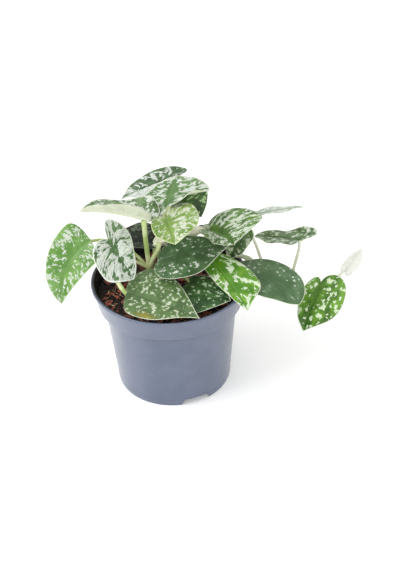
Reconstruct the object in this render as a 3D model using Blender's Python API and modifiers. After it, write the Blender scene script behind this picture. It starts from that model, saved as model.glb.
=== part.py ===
import math
import random

import bmesh
import bpy
from mathutils import Matrix, Vector

# Lengths are in metres and angles in degrees
GAP = 0.0003
WELD = 0.00001

# Pot
POT_HEIGHT = 0.091
RIM_RADIUS = 0.060
COLLAR_HEIGHT = 0.0185
COLLAR_RADIUS = 0.0556
SHOULDER_RADIUS = 0.0512
BASE_RADIUS = 0.0446
WALL = 0.0012
LIP_WIDTH = 0.0024
LIP_HEIGHT = 0.0022
EDGE_ROUND = 0.0005
FLOOR_THICKNESS = 0.0015
CHANNEL_HEIGHT = 0.0055
PAD_RADIUS = 0.026
FOOT_WIDTH = 0.005
FOOT_DRAFT = 0.001
RAMP = 0.003
POT_STEPS = 48
POT_SHARP_ANGLE = 35
NOTCH_COUNT = 3
NOTCH_WIDTH = 0.024
NOTCH_LEAN = 0.003
NOTCH_DEPTH = 0.012
FIRST_NOTCH = -70
DRAIN_RADIUS = 0.003
DRAIN_CIRCLE = 0.035

# Potting mix
SOIL_TOP = 0.080
SOIL_SWELL = 0.0012
SWELL_TURNS = (170, 130, 310)
SWELL_SHIFT = 0.6
SOIL_RINGS = 6
SOIL_STEPS = 36
CHIP_COUNT = 14
CHIP_SIZE = 0.003
CHIP_SPREAD_IN_SIZE = 0.3
CHIP_SHAPE = (1.4, 0.8, 0.6)
CHIP_SPREAD = (0.008, 0.046)
CHIP_TILT = 18
CHIP_SEED = 7
STEM_CLEARANCE = 0.009
ROD_STEPS = 12

# Stems and leaf stalks
STEM_RADIUS = 0.0020
THIN = 0.0013
THICK = 0.0020
STALK_POINTS = 6
STEM_FOOT = 0.066
CURVE_STEPS = 4
JOINT_GAP = 0.0004
JOINT_INSET = 1.4
JOINT_LEAN = 20

# Blades
BLADE_THICKNESS = 0.0007
BLADE_ROWS = 14
BLADE_COLUMNS = 2
LOBE_SHARE = 0.45
NOTCH_FLARE = 0.12
LOBE_REACH = (1.25, 0.95)
BELLY_REACH = 0.48
TIP_REACH = 0.84
VEIN_POWER = 1.8
VEIN_BOW = 0.2
FLARE_REACH = 0.4
WAVES = 2.5
WAVE_SHIFT = 0.25
MIDRIB_STEPS = 60

# What a blade has where its own entry below says nothing else. The fold is
# how far each half rises from the midrib and the cup how far it curls back.
# From "left" on, the values are shares of the blade's half width or length.
PLAIN_BLADE = {
    "width": 0.042, "wave": 0.0008, "roll": 0, "fold": 10, "fold_left": 0, "fold_right": 0,
    "cup": -10, "arch": 20, "hook": 0, "sweep": 0, "flare_right": 0,
    "left": 1, "right": 1, "lobe_left": 0.2, "lobe_right": 0.2, "belly": 0.3,
    "shoulder": 0.45, "back_left": 0, "back_right": 0,
}

# Each blade runs from its base, where the stalk meets it, to its tip
BLADES = {
    "leaf_left_hanging": {
        "base": (-0.0575, 0.010, 0.1215), "tip": (-0.083, -0.008, 0.0765), "width": 0.042,
        "roll": -35, "arch": 25, "sweep": -60, "left": 0.8, "right": 0.97, "lobe_left": 0,
        "lobe_right": 0, "belly": 0.12, "shoulder": 0.4},
    "leaf_left_silver": {
        "base": (-0.0435, 0, 0.1265), "tip": (-0.026, -0.020, 0.104), "width": 0.038,
        "roll": -10, "arch": 30, "fold": 12, "sweep": -30, "left": 0.98, "right": 1.45,
        "lobe_left": 0.35, "shoulder": 0.55, "back_left": 0.8, "back_right": -0.5},
    "leaf_left_folded": {
        "base": (-0.0135, 0.0025, 0.1405), "tip": (-0.063, 0.0015, 0.151), "width": 0.036,
        "roll": 20, "arch": 12, "fold": 22, "fold_left": 20, "hook": 10, "flare_right": 30,
        "left": 0.85, "right": 1.35, "lobe_left": 0.05, "belly": 0.25, "shoulder": 0.8},
    "leaf_left_shaded": {
        "base": (-0.010, 0.030, 0.104), "tip": (-0.043, 0.028, 0.105), "width": 0.034,
        "arch": 10, "fold": 14, "left": 0.8, "right": 1.35},
    "leaf_top_back": {
        "base": (0.009, 0.0645, 0.141), "tip": (-0.0345, 0.0485, 0.1325), "width": 0.043,
        "roll": -12, "fold": 12, "left": 0.5, "right": 0.6, "lobe_right": 0.35},
    "leaf_crown": {
        "base": (0.001, 0.0185, 0.1425), "tip": (0.010, 0.058, 0.146), "width": 0.062,
        "roll": -14, "arch": 10, "fold": 0, "fold_left": 4, "flare_right": 28, "left": 0.72,
        "lobe_left": 0.45, "lobe_right": 0.15, "shoulder": 0.6, "back_left": 0.1},
    "leaf_crown_shaded": {
        "base": (0.010, 0.0365, 0.1375), "tip": (0.027, 0.0255, 0.1265), "width": 0.046,
        "left": 1.15, "right": 0.7},
    "leaf_crown_young": {
        "base": (0.0005, 0.003, 0.141), "tip": (0.0055, -0.025, 0.1355), "width": 0.044,
        "roll": 10, "arch": 30, "fold": 15, "left": 1.05, "right": 0.6, "lobe_left": 0.75,
        "belly": 0.4, "shoulder": 0.7},
    "leaf_crown_turned": {
        "base": (-0.010, 0.0125, 0.1135), "tip": (0.033, 0.0235, 0.1155), "width": 0.050,
        "roll": -60, "arch": 10, "left": 0.4, "right": 0.58, "lobe_left": 0.05,
        "lobe_right": 0.05},
    "leaf_right_folded": {
        "base": (0.032, 0.0105, 0.1245), "tip": (0.048, -0.0165, 0.127), "width": 0.060,
        "arch": 10, "fold": 24, "fold_right": -22, "sweep": 18, "left": 1.03, "right": 0.35,
        "lobe_left": 0.3, "belly": 0.5, "shoulder": 1.3, "back_right": 0.2},
    "leaf_centre_dark": {
        "base": (-0.008, -0.002, 0.107), "tip": (0.047, 0, 0.117), "width": 0.046,
        "roll": 12, "fold": 8, "left": 0.7, "right": 1.15, "lobe_left": 0, "lobe_right": 0.1,
        "belly": 0.35, "shoulder": 0.3},
    "leaf_front_pale": {
        "base": (-0.032, -0.024, 0.096), "tip": (0.020, -0.058, 0.093), "width": 0.050,
        "roll": 12, "arch": 10, "fold": 4, "fold_right": 8, "left": 1.15, "right": 0.85,
        "lobe_left": 0.05, "lobe_right": 0, "belly": 0.22, "shoulder": 0.15,
        "back_left": 0.12, "back_right": -0.12},
    "leaf_front_dark": {
        "base": (0.015, -0.014, 0.095), "tip": (0.044, -0.035, 0.0905), "width": 0.054,
        "roll": 10, "arch": 10, "fold": 6, "left": 0.4, "right": 1.1, "lobe_left": 0.1,
        "lobe_right": 0.05},
    "leaf_right_bright": {
        "base": (0.030, 0.002, 0.108), "tip": (0.056, -0.043, 0.086), "roll": 9, "arch": 25,
        "left": 0.92, "right": 0.5, "lobe_left": 0.1, "lobe_right": 0.1, "belly": 0.45,
        "shoulder": 0.6, "back_left": -0.45, "back_right": 0.5},
    "leaf_right_plain": {
        "base": (0.064, -0.012, 0.0935), "tip": (0.095, -0.033, 0.0815), "width": 0.052,
        "roll": 8, "arch": 30, "hook": 30, "fold": 6, "sweep": 45, "left": 0.85,
        "right": 0.75, "lobe_left": 0.6, "lobe_right": 0.2, "shoulder": 0.8,
        "back_left": 0.7, "back_right": 0.4},
    "leaf_right_heart": {
        "base": (0.1145, -0.008, 0.083), "tip": (0.098, -0.034, 0.057), "width": 0.046,
        "roll": 16, "arch": 10, "fold": 16, "left": 1.35, "right": 0.5, "lobe_left": 0.25,
        "lobe_right": 0.15, "belly": 0.4},
    "leaf_right_level": {
        "base": (0.104, 0.024, 0.1015), "tip": (0.067, 0.027, 0.1055), "width": 0.034,
        "roll": 8, "arch": 10, "fold": 12, "flare_right": 30, "right": 0.75, "lobe_left": 0,
        "lobe_right": 0, "shoulder": 0.9, "back_left": -0.2, "back_right": 0.75},
    "leaf_right_slim": {
        "base": (0.071, 0.034, 0.121), "tip": (0.108, 0.038, 0.123), "width": 0.034,
        "roll": -20, "arch": 10, "fold": 4, "right": 0.6, "belly": 0.25},
    "leaf_right_striped": {
        "base": (0.060, 0.012, 0.120), "tip": (0.047, 0.004, 0.101), "width": 0.030,
        "arch": 10, "fold": 14, "left": 0.8},
    "leaf_right_pale": {
        "base": (0.136, 0.004, 0.084), "tip": (0.149, 0.010, 0.100), "width": 0.012,
        "wave": 0.0003, "roll": 60, "arch": 10, "fold": 14},
    "leaf_back_small": {
        "base": (0.020, 0.036, 0.106), "tip": (0.034, 0.031, 0.112), "width": 0.016,
        "wave": 0.0003, "arch": 10, "fold": 14},
    "leaf_back_left": {
        "base": (-0.014, 0.048, 0.100), "tip": (-0.036, 0.066, 0.088), "width": 0.030},
    "leaf_back_middle": {
        "base": (-0.002, 0.062, 0.105), "tip": (0.002, 0.095, 0.090), "width": 0.036},
    "leaf_back_right": {
        "base": (0.034, 0.046, 0.098), "tip": (0.058, 0.066, 0.084), "width": 0.030},
    "leaf_back_low": {
        "base": (-0.005, 0.070, 0.093), "tip": (-0.013, 0.088, 0.062), "width": 0.028},
}

# A stem runs through its points, and its foot stands straight down from the
# first. Each stalk has the place where it leaves the stem, the handle that
# it first heads for, the length of the handle with which it arrives at its
# blade, and its radius.
VINES = {
    "vine_left": {
        "stem": [(-0.015, 0.014, 0.084), (-0.015, 0.014, 0.093)],
        "stalks": {
            "leaf_left_hanging": [(-0.015, 0.014, 0.088), (-0.034, 0.018, 0.122), 0.010, THIN],
            "leaf_left_silver": [(-0.015, 0.014, 0.090), (-0.026, 0.010, 0.102), 0.010, THIN],
            "leaf_left_folded": [(-0.015, 0.014, 0.090), (-0.016, 0.013, 0.106), 0.010, THICK],
            "leaf_left_shaded": [(-0.015, 0.014, 0.088), (-0.010, 0.024, 0.094), 0.006, THIN],
            "leaf_crown_turned": [(-0.015, 0.014, 0.090), (-0.013, 0.010, 0.102), 0.004, THICK],
            "leaf_centre_dark": [(-0.015, 0.014, 0.088), (-0.017, 0.004, 0.092), 0.006, THIN]}},
    "vine_crown": {
        "stem": [(0.002, 0.034, 0.084), (0.003, 0.033, 0.104), (0.001, 0.026, 0.124)],
        "stalks": {
            "leaf_crown": [(0.001, 0.026, 0.122), (-0.005, 0.024, 0.134), 0.006, THICK],
            "leaf_crown_shaded": [(0.001, 0.027, 0.120), (0.006, 0.034, 0.126), 0.006, THIN],
            "leaf_crown_young": [(0.002, 0.028, 0.116), (0, 0.021, 0.128), 0.005, THIN]}},
    "vine_front": {
        "stem": [(-0.042, 0.018, 0.084), (-0.042, 0.014, 0.088)],
        "stalks": {
            "leaf_front_pale": [(-0.042, 0.016, 0.086), (-0.042, -0.006, 0.094), 0.005, THICK]}},
    "vine_centre": {
        "stem": [(0.012, 0.010, 0.084), (0.013, 0.010, 0.098)],
        "stalks": {
            "leaf_front_dark": [(0.012, 0.010, 0.084), (0.013, 0.004, 0.086), 0.003, THIN],
            "leaf_right_bright": [(0.013, 0.010, 0.090), (0.020, 0.008, 0.098), 0.005, THIN],
            "leaf_right_folded": [(0.013, 0.010, 0.094), (0.017, 0.022, 0.110), 0.005, THIN]}},
    "vine_right": {
        "stem": [(0.032, 0.014, 0.084), (0.041, 0.016, 0.093), (0.053, 0.017, 0.0955),
                 (0.063, 0.015, 0.092), (0.072, 0.010, 0.084), (0.085, 0.002, 0.076),
                 (0.106, -0.008, 0.068)],
        "stalks": {
            "leaf_right_plain": [(0.072, 0.010, 0.084), (0.071, -0.004, 0.080), 0.004, THIN],
            "leaf_right_slim": [(0.047, 0.0165, 0.0945), (0.040, 0.032, 0.110), 0.008, THIN],
            "leaf_right_striped": [(0.076, 0.0075, 0.0815), (0.070, 0.010, 0.092), 0.010, THIN],
            "leaf_right_level": [(0.092, -0.002, 0.0725), (0.096, 0.010, 0.092), 0.008, THIN],
            "leaf_right_heart": [(0.104, -0.007, 0.069), (0.110, -0.005, 0.068), 0.006, THIN],
            "leaf_right_pale": [(0.104, -0.007, 0.069), (0.124, 0.002, 0.066), 0.006, THIN]}},
    "vine_back": {
        "stem": [(0.008, 0.038, 0.084), (0.008, 0.040, 0.092)],
        "stalks": {
            "leaf_top_back": [(0.008, 0.040, 0.090), (0.022, 0.056, 0.114), 0.008, THIN],
            "leaf_back_small": [(0.008, 0.039, 0.088), (0.012, 0.036, 0.098), 0.005, THIN],
            "leaf_back_left": [(0.008, 0.039, 0.088), (0, 0.042, 0.094), 0.004, THIN],
            "leaf_back_middle": [(0.008, 0.039, 0.088), (0.006, 0.044, 0.098), 0.004, THIN],
            "leaf_back_right": [(0.008, 0.039, 0.088), (0.018, 0.042, 0.094), 0.004, THIN],
            "leaf_back_low": [(0.008, 0.039, 0.088), (0.004, 0.050, 0.099), 0.004, THIN]}},
}

# Colour and roughness of each material
POT_FINISH = ((0.20, 0.25, 0.33), 0.45)
SOIL_FINISH = ((0.035, 0.018, 0.012), 0.95)
STEM_FINISH = ((0.36, 0.48, 0.16), 0.5)
LEAF_FINISH = ((0.10, 0.25, 0.06), 0.45)


# Helpers

def make_collection(name):
    collection = bpy.data.collections.new(name)
    bpy.context.scene.collection.children.link(collection)
    return collection


def make_material(name, finish):
    colour, roughness = finish
    material = bpy.data.materials.new(name)
    material.use_nodes = True
    shader = material.node_tree.nodes["Principled BSDF"]
    shader.inputs["Base Color"].default_value = (*colour, 1)
    shader.inputs["Roughness"].default_value = roughness
    shader.inputs["Metallic"].default_value = 0
    return material


def add_object(name, data, collection):
    obj = bpy.data.objects.new(name, data)
    collection.objects.link(obj)
    return obj


def mesh_of(name, bm):
    mesh = bpy.data.meshes.new(name)
    bm.to_mesh(mesh)
    bm.free()
    return mesh


def evaluated_mesh(obj):
    graph = bpy.context.evaluated_depsgraph_get()
    return bpy.data.meshes.new_from_object(obj.evaluated_get(graph))


def bezier_point(a, b, c, d, u):
    v = 1 - u
    return a * v ** 3 + b * (3 * v * v * u) + c * (3 * v * u * u) + d * u ** 3


def add_turned(name, profile, steps, collection):
    """A profile of (radius, height) points with a Screw modifier."""
    mesh = bpy.data.meshes.new(name)
    points = [(radius, 0, height) for radius, height in profile]
    mesh.from_pydata(points, [(i, i + 1) for i in range(len(points) - 1)], [])
    obj = add_object(name, mesh, collection)
    screw = obj.modifiers.new("turn", "SCREW")
    screw.steps = steps
    screw.render_steps = steps
    screw.use_merge_vertices = True
    screw.merge_threshold = WELD
    return obj


def cut_by(obj, cutter):
    cutter.hide_render = True
    cutter.display_type = "WIRE"
    modifier = obj.modifiers.new("cut by " + cutter.name, "BOOLEAN")
    modifier.object = cutter


def join_with(obj, pieces):
    modifier = obj.modifiers.new("joined pieces", "BOOLEAN")
    modifier.operation = "UNION"
    modifier.operand_type = "COLLECTION"
    modifier.collection = pieces


def empty_out(collection):
    for obj in list(collection.objects):
        bpy.data.objects.remove(obj)
    bpy.data.collections.remove(collection)


# Pot

def wall_radius(z):
    """Outer radius of the wall under the collar."""
    return BASE_RADIUS + (SHOULDER_RADIUS - BASE_RADIUS) * z / (POT_HEIGHT - COLLAR_HEIGHT)


def pot_profile():
    step = POT_HEIGHT - COLLAR_HEIGHT
    floor = CHANNEL_HEIGHT + FLOOR_THICKNESS
    lip_inside = RIM_RADIUS - LIP_WIDTH
    lip_bottom = POT_HEIGHT - LIP_HEIGHT
    inside = [
        (0, FLOOR_THICKNESS),
        (PAD_RADIUS - WALL, FLOOR_THICKNESS),
        (PAD_RADIUS - WALL + RAMP, floor),
        (wall_radius(floor) - WALL, floor),
        (SHOULDER_RADIUS - WALL, step + WALL),
        (COLLAR_RADIUS - WALL, step + WALL),
        (lip_inside - EDGE_ROUND, lip_bottom),
        (lip_inside, POT_HEIGHT - EDGE_ROUND),
    ]
    lip = [
        (lip_inside + EDGE_ROUND, POT_HEIGHT),
        (RIM_RADIUS - EDGE_ROUND, POT_HEIGHT),
        (RIM_RADIUS, POT_HEIGHT - EDGE_ROUND),
        (RIM_RADIUS, lip_bottom),
        (RIM_RADIUS - EDGE_ROUND, lip_bottom - EDGE_ROUND),
    ]
    outside = [
        (COLLAR_RADIUS, step + EDGE_ROUND),
        (COLLAR_RADIUS - EDGE_ROUND, step),
        (SHOULDER_RADIUS, step),
        (wall_radius(EDGE_ROUND), EDGE_ROUND),
        (BASE_RADIUS - EDGE_ROUND, 0),
        (BASE_RADIUS - FOOT_WIDTH, 0),
        (BASE_RADIUS - FOOT_WIDTH - FOOT_DRAFT, CHANNEL_HEIGHT),
        (PAD_RADIUS + RAMP, CHANNEL_HEIGHT),
        (PAD_RADIUS, 0),
        (0, 0),
    ]
    return inside + lip + outside


def add_notch_cutter(turn, collection):
    """A block with leaning sides that opens the foot to the channel inside it."""
    low = NOTCH_WIDTH / 2
    high = low - NOTCH_LEAN
    outer = BASE_RADIUS + 2 * FOOT_DRAFT
    top = CHANNEL_HEIGHT - GAP
    bm = bmesh.new()
    section = [(-low, -top), (-low, 0), (-high, top), (high, top), (low, 0), (low, -top)]
    face = bm.faces.new([bm.verts.new((outer, y, z)) for y, z in section])
    grown = bmesh.ops.extrude_face_region(bm, geom=[face])
    moved = [item for item in grown["geom"] if isinstance(item, bmesh.types.BMVert)]
    bmesh.ops.translate(bm, verts=moved, vec=(-NOTCH_DEPTH, 0, 0))
    bmesh.ops.recalc_face_normals(bm, faces=bm.faces)
    cutter = add_object("notch cutter", mesh_of("notch cutter", bm), collection)
    cutter.rotation_euler = (0, 0, turn)
    return cutter


def add_rod_cutter(name, radius, bottom, top, place, collection):
    bm = bmesh.new()
    bmesh.ops.create_cone(bm, cap_ends=True, segments=ROD_STEPS, radius1=radius, radius2=radius,
                          depth=top - bottom)
    cutter = add_object(name, mesh_of(name, bm), collection)
    cutter.location = (place[0], place[1], (bottom + top) / 2)
    return cutter


def make_pot(parts, cutters):
    pot = add_turned("pot", pot_profile(), POT_STEPS, parts)
    pot.data.materials.append(make_material("pot plastic", POT_FINISH))
    floor = CHANNEL_HEIGHT + FLOOR_THICKNESS
    for index in range(NOTCH_COUNT):
        turn = math.radians(FIRST_NOTCH + 360 / NOTCH_COUNT * index)
        place = (DRAIN_CIRCLE * math.cos(turn), DRAIN_CIRCLE * math.sin(turn))
        cut_by(pot, add_notch_cutter(turn, cutters))
        cut_by(pot, add_rod_cutter("drain cutter", DRAIN_RADIUS, 0, 2 * floor, place, cutters))
    mesh = evaluated_mesh(pot)
    mesh.shade_smooth()
    mesh.set_sharp_from_angle(angle=math.radians(POT_SHARP_ANGLE))
    pot.modifiers.clear()
    pot.data = mesh


# Potting mix

def soil_profile():
    step = POT_HEIGHT - COLLAR_HEIGHT
    floor = CHANNEL_HEIGHT + FLOOR_THICKNESS + GAP
    shoulder = step + WALL + GAP
    flare = (RIM_RADIUS - COLLAR_RADIUS) / COLLAR_HEIGHT
    edge = COLLAR_RADIUS - WALL + (SOIL_TOP - step) * flare - 3 * GAP
    top = [(edge * ring / SOIL_RINGS, SOIL_TOP) for ring in range(SOIL_RINGS + 1)]
    below = [
        (COLLAR_RADIUS - WALL - GAP, shoulder),
        (SHOULDER_RADIUS - WALL - GAP, shoulder),
        (wall_radius(floor) - WALL - GAP, floor),
        (PAD_RADIUS - WALL + RAMP - GAP, floor),
        (PAD_RADIUS - WALL - GAP, FLOOR_THICKNESS + GAP),
        (0, FLOOR_THICKNESS + GAP),
    ]
    return top + below


def swell_at(x, y):
    """How far the loose mix rises above its level at a place."""
    along, across, slanting = SWELL_TURNS
    broad = math.sin(x * along + SWELL_SHIFT) * math.cos(y * across)
    fine = math.sin((x - y) * slanting)
    return SOIL_SWELL * (broad + fine / 2)


def add_chips(collection):
    """Flat, angular bark chips, half sunk into the mix."""
    drawn = random.Random(CHIP_SEED)
    feet = [Vector(vine["stem"][0]).xy for vine in VINES.values()]
    while len(collection.objects) < CHIP_COUNT:
        angle = drawn.uniform(0, math.tau)
        place = Vector((math.cos(angle), math.sin(angle))) * drawn.uniform(*CHIP_SPREAD)
        size = CHIP_SIZE * drawn.uniform(1 - CHIP_SPREAD_IN_SIZE, 1 + CHIP_SPREAD_IN_SIZE)
        tilt = math.radians(drawn.uniform(-CHIP_TILT, CHIP_TILT))
        turn = drawn.uniform(0, math.tau)
        if min((place - foot).length for foot in feet) < STEM_CLEARANCE:
            continue
        bm = bmesh.new()
        bmesh.ops.create_icosphere(bm, subdivisions=1, radius=size)
        bmesh.ops.scale(bm, verts=bm.verts, vec=CHIP_SHAPE)
        chip = add_object("bark chip", mesh_of("bark chip", bm), collection)
        chip.location = (place.x, place.y, SOIL_TOP + swell_at(place.x, place.y))
        chip.rotation_euler = (tilt, 0, turn)


def make_soil(parts, cutters):
    turned = add_turned("turned mix", soil_profile(), SOIL_STEPS, parts)
    mesh = evaluated_mesh(turned)
    bpy.data.objects.remove(turned)
    edge = max(vertex.co.xy.length for vertex in mesh.vertices)
    for vertex in mesh.vertices:
        if vertex.co.z > SOIL_TOP - GAP and vertex.co.xy.length < edge - GAP:
            vertex.co.z += swell_at(vertex.co.x, vertex.co.y)
    soil = add_object("potting_mix", mesh, parts)
    chips = make_collection("bark chips")
    add_chips(chips)
    join_with(soil, chips)
    for vine in VINES.values():
        foot = vine["stem"][0]
        cutter = add_rod_cutter("stem hole cutter", STEM_RADIUS + 2 * GAP, STEM_FOOT - GAP,
                                POT_HEIGHT, foot, cutters)
        cut_by(soil, cutter)
    soil.data = evaluated_mesh(soil)
    soil.modifiers.clear()
    soil.data.materials.clear()
    soil.data.materials.append(make_material("potting mix", SOIL_FINISH))
    empty_out(chips)


# Blades

def margin_point(t, lobe, belly, shoulder):
    """A point of half a blade's outline, from its notch at t = 0 to its tip at t = 1.

    The first value is its share of the half width, and the second is its
    place along the blade as a share of the length.
    """
    if t < LOBE_SHARE:
        u = t / LOBE_SHARE
        near, far = LOBE_REACH
        across = bezier_point(0, NOTCH_FLARE, 1, 1, u)
        along = bezier_point(0, -near * lobe, -far * lobe, belly, u)
    else:
        u = (t - LOBE_SHARE) / (1 - LOBE_SHARE)
        across = bezier_point(1, 1, shoulder, 0, u)
        along = bezier_point(belly, belly + BELLY_REACH * (1 - belly), TIP_REACH, 1, u)
    return across, along


class Blade:
    """A leaf blade with its base at its origin, its tip towards +Y and its upper face up."""

    def __init__(self, name):
        self.values = {**PLAIN_BLADE, **BLADES[name]}
        self.base = Vector(self.values["base"])
        chord = Vector(self.values["tip"]) - self.base
        self.arch = math.radians(self.values["arch"])
        self.hook = math.radians(self.values["hook"])
        self.sweep = math.radians(self.values["sweep"])
        self.midrib = self.midrib_points()
        self.length = chord.length / self.midrib[-1].length
        self.level = self.axes_along(self.midrib[-1])
        turn = Matrix.Rotation(math.radians(self.values["roll"]), 3, chord)
        self.frame = turn @ self.axes_along(chord).transposed()

    def axes_along(self, direction):
        """Rows of the axes that have +Y along a direction and +X level."""
        along = direction.normalized()
        across = along.cross(Vector((0, 0, 1))).normalized()
        return Matrix((across, along, across.cross(along)))

    def tangent_at(self, s):
        pitch = -self.arch * s - self.hook * max(s, 0) ** 3
        yaw = self.sweep * max(s, 0)
        level = math.cos(pitch)
        return Vector((math.sin(yaw) * level, math.cos(yaw) * level, math.sin(pitch)))

    def midrib_points(self):
        points = [Vector((0, 0, 0))]
        for step in range(MIDRIB_STEPS):
            points.append(points[-1] + self.tangent_at((step + 0.5) / MIDRIB_STEPS) / MIDRIB_STEPS)
        return points

    def midrib_point(self, s):
        if s < 0:
            return self.tangent_at(s / 2) * s
        place = min(s, 1) * MIDRIB_STEPS
        index = min(int(place), MIDRIB_STEPS - 1)
        return self.midrib[index].lerp(self.midrib[index + 1], place - index)

    def point(self, side, t, r):
        """The point of row t at a share r of the way from the midrib to the margin."""
        values = self.values
        name = "right" if side > 0 else "left"
        margin, end = margin_point(t, values["lobe_" + name], values["belly"], values["shoulder"])
        start = t ** VEIN_POWER
        x = margin * r
        s = start + (end - start) * r
        s -= VEIN_BOW * r * (1 - r) * margin * math.sin(math.pi * t)
        s -= values["back_" + name] * x * (1 - t)
        fold = values["fold"] + values["fold_" + name]
        if side > 0:
            fold += values["flare_right"] * max(0, 1 - max(s, 0) / FLARE_REACH) ** 2
        fold = math.radians(fold)
        half_width = values["width"] / 2 * values[name]
        bend = math.radians(values["cup"]) / half_width
        angle = fold + bend * x * half_width
        out = (math.sin(angle) - math.sin(fold)) / bend
        rise = (math.cos(fold) - math.cos(angle)) / bend
        phase = WAVE_SHIFT if side > 0 else 0
        swing = math.sin(math.tau * (WAVES * t + phase)) * math.sin(math.pi * t)
        rise += values["wave"] * r * r * swing
        yaw = self.sweep * max(s, 0)
        across = Vector((math.cos(yaw), -math.sin(yaw), 0))
        normal = across.cross(self.tangent_at(s))
        place = self.midrib_point(s) * self.length + across * (side * out) + normal * rise
        return self.level @ place

    def joint(self, radius):
        """Where a stalk of that radius ends, and the direction in which it arrives."""
        along = self.frame @ self.level @ self.tangent_at(0)
        up = self.frame @ self.level @ Vector((0, 0, 1))
        lean = math.radians(JOINT_LEAN)
        drop = BLADE_THICKNESS / 2 + JOINT_GAP + radius * math.sin(lean)
        end = self.base + along * (JOINT_INSET * radius) - up * drop
        return end, up * math.cos(lean) + along * math.sin(lean)

    def mesh(self, name, rows, columns):
        bm = bmesh.new()
        base = bm.verts.new((0, 0, 0))
        tip = bm.verts.new(self.point(1, 1, 0))
        spine = [bm.verts.new(self.point(1, row / rows, 0)) for row in range(1, rows)]
        shares = [(column + 1) / columns for column in range(columns)]
        for side in (-1, 1):
            grid = []
            for row in range(1, rows):
                outer = [bm.verts.new(self.point(side, row / rows, share)) for share in shares]
                grid.append([spine[row - 1]] + outer)
            for column in range(columns):
                bm.faces.new((base, grid[0][column], grid[0][column + 1]))
                bm.faces.new((tip, grid[-1][column], grid[-1][column + 1]))
                for low, high in zip(grid, grid[1:]):
                    bm.faces.new((low[column], high[column], high[column + 1], low[column + 1]))
        bmesh.ops.recalc_face_normals(bm, faces=bm.faces)
        bmesh.ops.triangulate(bm, faces=bm.faces)
        return mesh_of(name, bm)


def make_leaf(name, parts):
    blade = Blade(name)
    leaf = add_object(name, blade.mesh(name, BLADE_ROWS, BLADE_COLUMNS), parts)
    leaf.location = blade.base
    leaf.rotation_euler = blade.frame.to_euler()
    leaf.data.materials.append(make_material(name, LEAF_FINISH))
    leaf.data.shade_smooth()
    solid = leaf.modifiers.new("thickness", "SOLIDIFY")
    solid.thickness = BLADE_THICKNESS
    solid.offset = 0


# Stems and stalks

def stem_route(points):
    """A straight foot, then a smooth curve through the points."""
    ends = [points[0] * 2 - points[1]] + points + [points[-1] * 2 - points[-2]]
    route = [Vector((points[0].x, points[0].y, STEM_FOOT))]
    for before, start, end, after in zip(ends, ends[1:], ends[2:], ends[3:]):
        first = start + (end - before) / 6
        second = end - (after - start) / 6
        for step in range(CURVE_STEPS):
            route.append(bezier_point(start, first, second, end, step / CURVE_STEPS))
    return route + [points[-1]]


def stalk_route(leaf, start, handle, arrival, radius):
    end, direction = Blade(leaf).joint(radius)
    near = end - direction * radius
    second = near - direction * arrival
    shares = [step / (STALK_POINTS - 1) for step in range(STALK_POINTS)]
    curve = [bezier_point(Vector(start), Vector(handle), second, near, share) for share in shares]
    return curve + [end]


def add_tube(name, route, radius, collection):
    curve = bpy.data.curves.new(name, "CURVE")
    curve.dimensions = "3D"
    curve.bevel_depth = radius
    curve.bevel_resolution = 1
    curve.use_fill_caps = True
    spline = curve.splines.new("POLY")
    spline.points.add(len(route) - 1)
    for point, place in zip(spline.points, route):
        point.co = (*place, 1)
    drawn = add_object("route of " + name, curve, collection)
    bm = bmesh.new()
    bm.from_mesh(evaluated_mesh(drawn))
    bmesh.ops.remove_doubles(bm, verts=bm.verts, dist=WELD)
    bmesh.ops.recalc_face_normals(bm, faces=bm.faces)
    tube = add_object(name, mesh_of(name, bm), collection)
    tube.matrix_world = drawn.matrix_world
    bpy.data.objects.remove(drawn)
    return tube


def make_vine(name, parts):
    vine = VINES[name]
    stem = add_tube(name, stem_route([Vector(place) for place in vine["stem"]]), STEM_RADIUS, parts)
    stalks = make_collection("stalks of " + name)
    for leaf, (start, handle, arrival, radius) in vine["stalks"].items():
        add_tube("stalk of " + leaf, stalk_route(leaf, start, handle, arrival, radius), radius, stalks)
    join_with(stem, stalks)
    stem.data = evaluated_mesh(stem)
    stem.modifiers.clear()
    stem.data.materials.clear()
    stem.data.materials.append(make_material(name, STEM_FINISH))
    stem.data.shade_smooth()
    empty_out(stalks)


def main():
    for obj in list(bpy.data.objects):
        bpy.data.objects.remove(obj)
    parts = make_collection("potted satin pothos")
    cutters = make_collection("cutters")
    make_pot(parts, cutters)
    make_soil(parts, cutters)
    for name in VINES:
        make_vine(name, parts)
    for name in BLADES:
        make_leaf(name, parts)


main()
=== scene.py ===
from math import cos, pi, radians, sin, tau
import bmesh
import bpy
from mathutils import Matrix, Vector, noise


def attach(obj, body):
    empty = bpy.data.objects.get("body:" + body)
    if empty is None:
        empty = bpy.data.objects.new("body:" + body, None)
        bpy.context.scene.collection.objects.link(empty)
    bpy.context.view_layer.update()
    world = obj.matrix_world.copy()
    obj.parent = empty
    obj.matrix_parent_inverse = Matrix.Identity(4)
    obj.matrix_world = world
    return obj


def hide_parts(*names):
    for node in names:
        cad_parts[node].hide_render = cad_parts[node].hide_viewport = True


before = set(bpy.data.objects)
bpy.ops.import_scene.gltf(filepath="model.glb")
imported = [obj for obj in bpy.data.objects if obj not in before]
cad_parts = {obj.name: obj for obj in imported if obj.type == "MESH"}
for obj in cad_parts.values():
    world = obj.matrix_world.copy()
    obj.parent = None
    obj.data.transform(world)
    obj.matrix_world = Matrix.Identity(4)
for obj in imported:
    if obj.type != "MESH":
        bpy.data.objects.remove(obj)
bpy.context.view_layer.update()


# Nodes

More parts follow.
